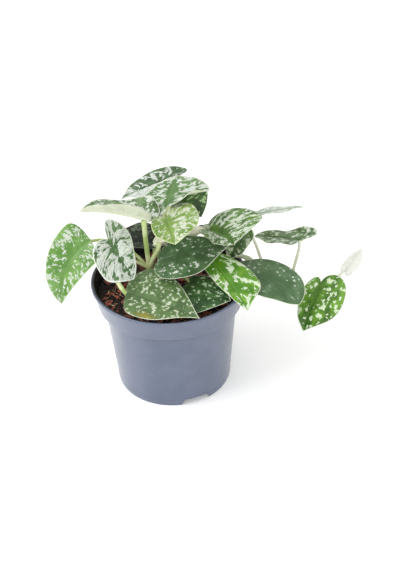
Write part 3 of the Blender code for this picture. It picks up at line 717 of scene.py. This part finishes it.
class Blade:
    # what a blade's values say about where it lies
    def __init__(self, name):
        self.values = {**plainBlade, **blades[name]}
        self.base = Vector(self.values["base"])
        chord = Vector(self.values["tip"]) - self.base
        turns = {key: radians(self.values[key]) for key in ("arch", "hook", "sweep")}
        end = Vector((0, 0, 0))
        steps = 60
        for share in ((step + 0.5) / steps for step in range(steps)):
            pitch = -turns["arch"] * share - turns["hook"] * share ** 3
            yaw = turns["sweep"] * share
            end += Vector((sin(yaw) * cos(pitch), cos(yaw) * cos(pitch), sin(pitch))) / steps
        self.length = chord.length / end.length
        roll = Matrix.Rotation(radians(self.values["roll"]), 3, chord)
        self.turn = roll @ self.axesAlong(chord).transposed() @ self.axesAlong(end)

    def axesAlong(self, direction):
        along = direction.normalized()
        across = along.cross(Vector((0, 0, 1))).normalized()
        return Matrix((across, along, across.cross(along)))

    def joint(self, radius):
        # where a stalk of that radius ends inside the blade, and the way in which it arrives
        along = self.turn @ Vector((0, 1, 0))
        up = self.turn @ Vector((0, 0, 1))
        lean = radians(plainStalk["lean"])
        end = self.base + along * (1.4 * radius) - up * (0.0004 + radius * sin(lean))
        return end, up * cos(lean) + along * sin(lean)


# What all blades share. "lobeEnd" is where the lobes end, "swing" bends the side veins back and
# "sag" bows them. "span" is how far the silver's share moves its level, and "bandPull" how strongly
# the green band holds it back
shape = {
    "rows": 60, "columns": 27, "thickness": 0.00042, "groove": 0.0005, "grooveWidth": 0.0016,
    "rib": 0.0009, "ribWidth": 0.0014, "quilt": 0.0001, "veins": 9, "unrest": 0.001,
    "lobeEnd": 0.45, "swing": 1.8, "sag": 0.2, "waves": 2.5, "flareEnd": 0.4,
    "span": 0.36, "bandPull": 0.16, "haze": 0.22, "veinTone": 0.25, "cover": 0.95,
    "underVeins": (232, 238, 210), "underRib": (232, 236, 204)}


def bladeTree():
    # a heart-shaped blade with its base at the origin, bent along its midrib and folded across it
    numbers = [key + side for key in ("half", "lobe", "back", "fold") for side in ("Left", "Right")]
    numbers += ["belly", "shoulder", "flareRight", "cup", "arch", "hook", "sweep", "wave", "length",
                "thickness", "groove", "rib", "quilt", "veins", "unrest", "seed"]
    tree, g, given = newTree("blade", {
        "rows": "Int", "columns": "Int", **{name: "Float" for name in numbers},
        "upper": "Material", "under": "Material"})
    grid = g.geometry("MeshGrid", {
        "Size X": 2, "Size Y": 1, "Vertices X": given["columns"], "Vertices Y": given["rows"]})
    place = g.split(g.add("GeometryNodeInputPosition"))
    wide = place["X"]
    right = wide.maths("GREATER_THAN", 0)
    # columns crowd at the midrib and the margin, and rows at the tip
    plain = abs(wide)
    r = plain * 0.3 + plain * plain * (3 - 2 * plain) * 0.7
    t = 1 - higher(0.5 - place["Y"], 0) ** 1.3
    sided = right * 2 - 1

    def pick(name):
        left = given[name + "Left"]
        return left + (given[name + "Right"] - left) * right

    # outline: a curve round the lobe, and one from there to the tip
    lobeEnd = shape["lobeEnd"]
    near, far = lower(t / lobeEnd, 1), higher((t - lobeEnd) / (1 - lobeEnd), 0)
    belly, lobe, half = given["belly"], pick("lobe"), pick("half")
    margin = bezierAt(0, 0.12, 1, 1, near) + bezierAt(1, 1, given["shoulder"], 0, far) - 1
    end = (bezierAt(0, lobe * -1.25, lobe * -0.95, belly, near)
           + bezierAt(belly, belly + 0.48 * (1 - belly), 0.84, 1, far) - belly)
    start = t ** shape["swing"]
    x = margin * r
    rounded = sine(t * pi)
    sag = shape["sag"] * r * (1 - r) * margin * rounded
    s = start + (end - start) * r - sag - pick("back") * x * (1 - t)

    # fold and curl across the blade
    ahead = higher(s, 0)
    flare = given["flareRight"] * right * higher(1 - ahead / shape["flareEnd"], 0) ** 2
    fold = pick("fold") + flare
    cup = given["cup"]
    angle = fold + cup * x
    out = (sine(angle) - sine(fold)) * half / cup
    rise = (cosine(fold) - cosine(angle)) * half / cup
    wave = sine((t * shape["waves"] + right * 0.25) * tau)
    rise = rise + given["wave"] * r * r * wave * rounded
    fromMidrib = x * half
    groove = 1 - g.smooth(fromMidrib, 0, shape["grooveWidth"])
    rise = rise - given["groove"] * groove * (1 - 0.7 * t)
    rise = rise + given["quilt"] * cosine(t * given["veins"] * tau) * sine(r * pi)
    rough = g.noise(g.xyz(t * 3, r * sided * 1.6, given["seed"]), 1, 2)
    rise = rise + (rough - 0.5) * given["unrest"] * lower(r * 3, 1) * rounded

    def tangentAt(s):
        ahead = higher(s, 0)
        pitch = -(s * given["arch"]) - given["hook"] * ahead ** 3
        yaw = ahead * given["sweep"]
        return g.xyz(sine(yaw) * cosine(pitch), cosine(yaw) * cosine(pitch), sine(pitch))

    # the midrib is the sum of its directions, taken at Gauss's three places
    reached = lower(s, 1)
    offset = 0.3873
    ends = tangentAt(reached * (0.5 - offset)).vectors("ADD", tangentAt(reached * (0.5 + offset)))
    spine = ends.vectors("SCALE", 5 / 18).vectors(
        "ADD", tangentAt(reached * 0.5).vectors("SCALE", 8 / 18))
    yaw = ahead * given["sweep"]
    across = g.xyz(cosine(yaw), -sine(yaw), 0)
    normal = across.vectors("CROSS_PRODUCT", tangentAt(s))
    whole = spine.vectors("SCALE", reached * given["length"])
    whole = whole.vectors("ADD", across.vectors("SCALE", sided * out))
    whole = whole.vectors("ADD", normal.vectors("SCALE", rise))

    # the leaf's finish reads the vein, the signed way out along it, and what is left to the margin
    reach = ((margin * half) ** 2 + ((end - start) * given["length"]) ** 2).maths("SQRT")
    toMargin = reach * (1 - r)
    marked = g.store(grid, "vein", "FLOAT_VECTOR", g.xyz(t, r * sided, toMargin))
    # both faces meet in a thin margin
    even = (1 - r ** 8) * g.smooth(t, 0, 0.05) * g.smooth(t, 1, 0.95)
    rib = given["rib"] * (1 - g.smooth(fromMidrib, 0, shape["ribWidth"])) * (1 - 0.8 * t)
    depth = given["thickness"] * 0.5
    marked = g.store(marked, "depths", "FLOAT_VECTOR", g.xyz(depth * even, (depth + rib) * even, 0))
    sheet = g.geometry("SetPosition", {"Geometry": marked, "Position": whole})
    sheet = g.geometry("MergeByDistance", {"Geometry": sheet, "Distance": 1e-6})
    depths = g.split(g.named("depths", "FLOAT_VECTOR"))
    outward = g.add("GeometryNodeInputNormal")
    raised, lowered = outward.vectors("SCALE", depths["X"]), outward.vectors("SCALE", -depths["Y"])
    top = g.geometry("SetPosition", {"Geometry": sheet, "Offset": raised})
    below = g.geometry("SetPosition", {"Geometry": sheet, "Offset": lowered})
    below = g.geometry("FlipFaces", [below])
    below = g.store(below, "below", "BOOLEAN", True, "FACE")
    both = g.geometry("JoinGeometry", [[below, top]])
    both = g.geometry("MergeByDistance", {"Geometry": both, "Distance": 1e-6})
    both = g.geometry("SetShadeSmooth", [both])
    endTree(g, both, given["upper"], given["under"])
    return tree


def veinPlace(g):
    vein = g.split(g.add("ShaderNodeAttribute", {"attribute_name": "vein"})["Vector"])
    return vein["X"], vein["Y"], vein["Z"]


def upperFinish(name, look, seed):
    g = Finish(name, look["gloss"])
    t, q, toMargin = veinPlace(g)
    r = abs(q)
    place = g.place()
    darkGreen, freshGreen, silverTone = look["tones"]
    deep = colour(*darkGreen)

    # silver lies where a noise is above a level, less so along the midrib
    streaks = g.noise(g.xyz(t * look["streaks"], q * look["reach"], seed), 1, 3, 0.62, 0.4)
    blots = g.noise(place, 1 / look["blotSize"], 2.5, 0.55)
    spread = streaks * (1 - look["blots"]) + blots * look["blots"]
    wander = g.noise(g.xyz(t * 12, q * 2, seed + 4), 1, 2) - 0.5
    bandEdge = (1 - 0.5 * t) * look["band"] + wander * 0.5
    inBand = g.smooth(r, bandEdge + 0.08, bandEdge - 0.08)
    broad = g.noise(place, 90, 3, 0.6)
    level = 0.5 - (look["share"] - 0.5) * shape["span"]
    level = level - q.maths("SIGN") * (look["lean"] * shape["span"]) - (broad - 0.5) * look["clumps"]
    silver = g.smooth(spread - inBand * shape["bandPull"], level - 0.008, level + 0.012)

    # greens, the silver with its own faint clouds, and the dark side veins
    green = g.mix(inBand * 0.5, mottled(g, broad, darkGreen, freshGreen), deep)
    lines = g.smooth(cosine(t * shape["veins"] * tau), 0.92, 1)
    haze = g.smooth(g.noise(place, 700, 2), 0.3, 0.7) * shape["haze"]
    cloud = g.mix(haze, colour(*silverTone), green)
    shade = g.mix(lines * shape["veinTone"], g.mix(silver * shape["cover"], green, cloud), deep)
    if "patch" in look:
        along, across = look["patchAt"]
        patch = g.smooth(abs(t - along) * 2.2 + abs(q - across), 0.3, 0.04)
        shade = g.mix(patch * 0.6, shade, colour(*look["patch"]))
    if look["veining"]:
        ridges = abs(g.noise(g.xyz(t * 26, q * 1.5, seed + 9), 1, 1, 0.5, 0.6) - 0.5)
        shade = g.mix(g.smooth(ridges, 0.03, 0.012) * look["veining"], shade, deep)
    shade = g.mix(g.smooth(r, 0.035, 0.015) * 0.5, shade, colour(*freshGreen))
    rim = g.smooth(toMargin, look["rimWidth"] * 1.3, look["rimWidth"] * 0.7)
    g.feed("Base Color", g.mix(rim, shade, colour(*look["rim"])))
    g.feed("Roughness", silver * 0.1 + look["gloss"])
    g.bump(silver * 0.3 - lines * 0.6 + g.noise(place, 1500, 2) * 0.4, 0.00018, 0.5)
    return g.material


def underFinish(name, look):
    g = Finish(name, 0.5)
    t, q, _ = veinPlace(g)
    place = g.place()
    lines = g.smooth(cosine(t * shape["veins"] * tau), 0.9, 1)
    darker = [c * 0.95 for c in look["under"]]
    shade = mottled(g, g.noise(place, 120, 3), darker, look["under"])
    shade = g.mix(lines * 0.3, shade, colour(*shape["underVeins"]))
    shade = g.mix(g.smooth(abs(q), 0.06, 0.02) * 0.6, shade, colour(*shape["underRib"]))
    g.feed("Base Color", shade)
    g.bump(lines + g.noise(place, 1500, 2) * 0.3, 0.0002, 0.5)
    return g.material


def addBlades():
    tree = bladeTree()
    for number, name in enumerate(blades):
        blade = Blade(name)
        own = blade.values
        piece = pieceName(name)
        values = {**shape, **own, "length": blade.length, "seed": number * 5.3,
                  "upper": upperFinish(piece, own, number * 7.3),
                  "under": underFinish(piece + "Under", own)}
        for key in ("flareRight", "cup", "arch", "hook", "sweep"):
            values[key] = radians(own[key])
        for side in ("Left", "Right"):
            values["half" + side] = own["width"] / 2 * own[side.lower()]
            values["fold" + side] = radians(own["fold"] + own["fold" + side])
        obj = frozen(newObject(piece, bpy.data.meshes.new(piece)), tree, values)
        obj.data.transform(Matrix.Translation(blade.base) @ blade.turn.to_4x4())
        keep(obj, [name])


# Stems and stalks

plainStalk = {"stem": 0.002, "thin": 0.0013, "thick": 0.002, "foot": 0.066, "sides": 14,
              "points": 22, "lean": 20,
              "green": (160, 182, 108), "pale": (214, 222, 172), "brown": (146, 136, 92)}
# the trailing vine is paler and greyer than the others
greyStalk = {"green": (168, 178, 146), "pale": (202, 205, 186), "brown": (150, 148, 128)}
thin, thick = plainStalk["thin"], plainStalk["thick"]

# A stem runs through its points. The other rows are its stalks, each with the place where it leaves
# the stem, the place that it first heads for, the length of the curve's end and its radius
vines = {
    "vine_left": {
        "stem": [(-0.015, 0.014, 0.084), (-0.015, 0.014, 0.093)],
        "leaf_left_hanging": [(-0.015, 0.014, 0.088), (-0.034, 0.018, 0.122), 0.01, thin],
        "leaf_left_silver": [(-0.015, 0.014, 0.09), (-0.026, 0.01, 0.102), 0.01, thin],
        "leaf_left_folded": [(-0.015, 0.014, 0.09), (-0.016, 0.013, 0.106), 0.01, thick],
        "leaf_left_shaded": [(-0.015, 0.014, 0.088), (-0.01, 0.024, 0.094), 0.006, thin],
        "leaf_crown_turned": [(-0.015, 0.014, 0.09), (-0.013, 0.01, 0.102), 0.004, thick],
        "leaf_centre_dark": [(-0.015, 0.014, 0.088), (-0.017, 0.004, 0.092), 0.006, thin]},
    "vine_crown": {
        "stem": [(0.002, 0.034, 0.084), (0.003, 0.033, 0.104), (0.001, 0.026, 0.124)],
        "leaf_crown": [(0.001, 0.026, 0.122), (-0.005, 0.024, 0.134), 0.006, thick],
        "leaf_crown_shaded": [(0.001, 0.027, 0.12), (0.006, 0.034, 0.126), 0.006, thin],
        "leaf_crown_young": [(0.002, 0.028, 0.116), (0, 0.021, 0.128), 0.005, thin]},
    "vine_front": {
        "stem": [(-0.042, 0.018, 0.084), (-0.042, 0.014, 0.088)],
        "leaf_front_pale": [(-0.042, 0.016, 0.086), (-0.042, -0.006, 0.094), 0.005, thick]},
    "vine_centre": {
        "stem": [(0.012, 0.01, 0.084), (0.013, 0.01, 0.098)],
        "leaf_front_dark": [(0.012, 0.01, 0.084), (0.013, 0.004, 0.086), 0.003, thin],
        "leaf_right_bright": [(0.013, 0.01, 0.09), (0.02, 0.008, 0.098), 0.005, thin],
        "leaf_right_folded": [(0.013, 0.01, 0.094), (0.017, 0.022, 0.11), 0.005, thin]},
    "vine_right": {
        "stem": [(0.032, 0.014, 0.084), (0.041, 0.016, 0.093), (0.053, 0.017, 0.0955),
                 (0.063, 0.015, 0.092), (0.072, 0.01, 0.084), (0.085, 0.002, 0.076),
                 (0.106, -0.008, 0.068)],
        "leaf_right_plain": [(0.072, 0.01, 0.084), (0.071, -0.004, 0.08), 0.004, thin],
        "leaf_right_slim": [(0.047, 0.0165, 0.0945), (0.04, 0.032, 0.11), 0.008, thin],
        "leaf_right_striped": [(0.076, 0.0075, 0.0815), (0.07, 0.01, 0.092), 0.01, thin],
        "leaf_right_level": [(0.092, -0.002, 0.0725), (0.096, 0.01, 0.092), 0.008, thin],
        "leaf_right_heart": [(0.104, -0.007, 0.069), (0.11, -0.005, 0.068), 0.006, thin],
        "leaf_right_pale": [(0.104, -0.007, 0.069), (0.124, 0.002, 0.066), 0.006, thin]},
    "vine_back": {
        "stem": [(0.008, 0.038, 0.084), (0.008, 0.04, 0.092)],
        "leaf_top_back": [(0.008, 0.04, 0.09), (0.022, 0.056, 0.114), 0.008, thin],
        "leaf_back_small": [(0.008, 0.039, 0.088), (0.012, 0.036, 0.098), 0.005, thin],
        "leaf_back_left": [(0.008, 0.039, 0.088), (0, 0.042, 0.094), 0.004, thin],
        "leaf_back_middle": [(0.008, 0.039, 0.088), (0.006, 0.044, 0.098), 0.004, thin],
        "leaf_back_right": [(0.008, 0.039, 0.088), (0.018, 0.042, 0.094), 0.004, thin],
        "leaf_back_low": [(0.008, 0.039, 0.088), (0.004, 0.05, 0.099), 0.004, thin]}}


def stalkTree():
    # tubes along edges, as thick as each point says
    tree, g, given = newTree("stalk", {"sides": "Int", "finish": "Material"})
    curves = g.geometry("MeshToCurve", [given])
    ring = g.geometry("CurvePrimitiveCircle", {"Resolution": given["sides"], "Radius": 1})
    tubes = g.geometry("CurveToMesh", {
        "Curve": curves, "Profile Curve": ring, "Scale": g.named("thickness", "FLOAT"),
        "Fill Caps": True})
    tubes = g.geometry("SetShadeSmooth", [tubes])
    endTree(g, tubes, given["finish"])
    return tree


def stemRoute(points):
    ends = [points[0] * 2 - points[1]] + points + [points[-1] * 2 - points[-2]]
    route = [Vector((points[0].x, points[0].y, plainStalk["foot"]))]
    steps = 10
    for before, start, end, after in zip(ends, ends[1:], ends[2:], ends[3:]):
        for step in range(steps):
            route.append(bezierAt(start, start + (end - before) / 6, end - (after - start) / 6, end,
                                  step / steps))
    return route + [points[-1]]


def stalkRoute(leaf, start, handle, arrival, radius):
    end, direction = Blade(leaf).joint(radius)
    near = end - direction * radius
    steps = plainStalk["points"] - 1
    return [bezierAt(Vector(start), Vector(handle), near - direction * arrival, near, step / steps)
            for step in range(steps + 1)] + [end]


def stalkFinish(name, tones):
    g = Finish(name, 0.45)
    place = g.place()
    shade = mottled(g, g.noise(place, 70, 3), tones["green"], tones["pale"])
    specks = g.smooth(g.noise(place, 700, 3), 0.62, 0.72) * 0.5
    g.feed("Base Color", g.mix(specks, shade, colour(*tones["brown"])))
    g.bump(g.noise(place, 800, 3), 0.0002, 0.4)
    return g.material


def stemWidths(count):
    # the stem swells a little again and again, as at its knots
    return [plainStalk["stem"] * (1 + 0.1 * sin(index * 0.9)) for index in range(count)]


def stalkWidths(count, radius):
    # thicker where it leaves the stem, and a little where it meets the blade
    widths = []
    for index in range(count):
        share = index / (count - 1)
        swell = 0.45 * max(0, 1 - share / 0.25) ** 2 + 0.18 * max(0, (share - 0.85) / 0.15)
        widths.append(radius * (0.92 + swell))
    return widths


def addVines():
    tree = stalkTree()
    green, grey = stalkFinish("stalk", plainStalk), stalkFinish("greyStalk", greyStalk)
    for name, vine in vines.items():
        stem = stemRoute([Vector(place) for place in vine["stem"]])
        bud = stem[-1] + (stem[-1] - stem[-2]).normalized() * 0.0012
        routes = [(stem + [bud], stemWidths(len(stem)) + [plainStalk["stem"] * 0.35])]
        for leaf in [key for key in vine if key != "stem"]:
            route = stalkRoute(leaf, *vine[leaf])
            routes.append((route, stalkWidths(len(route), vine[leaf][-1])))
        points, edges, thickness = [], [], []
        for route, widths in routes:
            first = len(points)
            edges += [(first + index, first + index + 1) for index in range(len(route) - 1)]
            points += route
            thickness += widths
        mesh = bpy.data.meshes.new(name)
        mesh.from_pydata(points, edges, [])
        mesh.attributes.new("thickness", "FLOAT", "POINT").data.foreach_set("value", thickness)
        obj = frozen(newObject(pieceName(name), mesh), tree, {
            "sides": plainStalk["sides"], "finish": grey if name == "vine_right" else green})
        keep(obj, [name])


def main():
    addCamera()
    for name, make in (("stage", addStage), ("pot", addPot), ("potting mix", addMix),
                       ("blades", addBlades), ("stems and stalks", addVines)):
        make()
        print(name, "ready")


main()
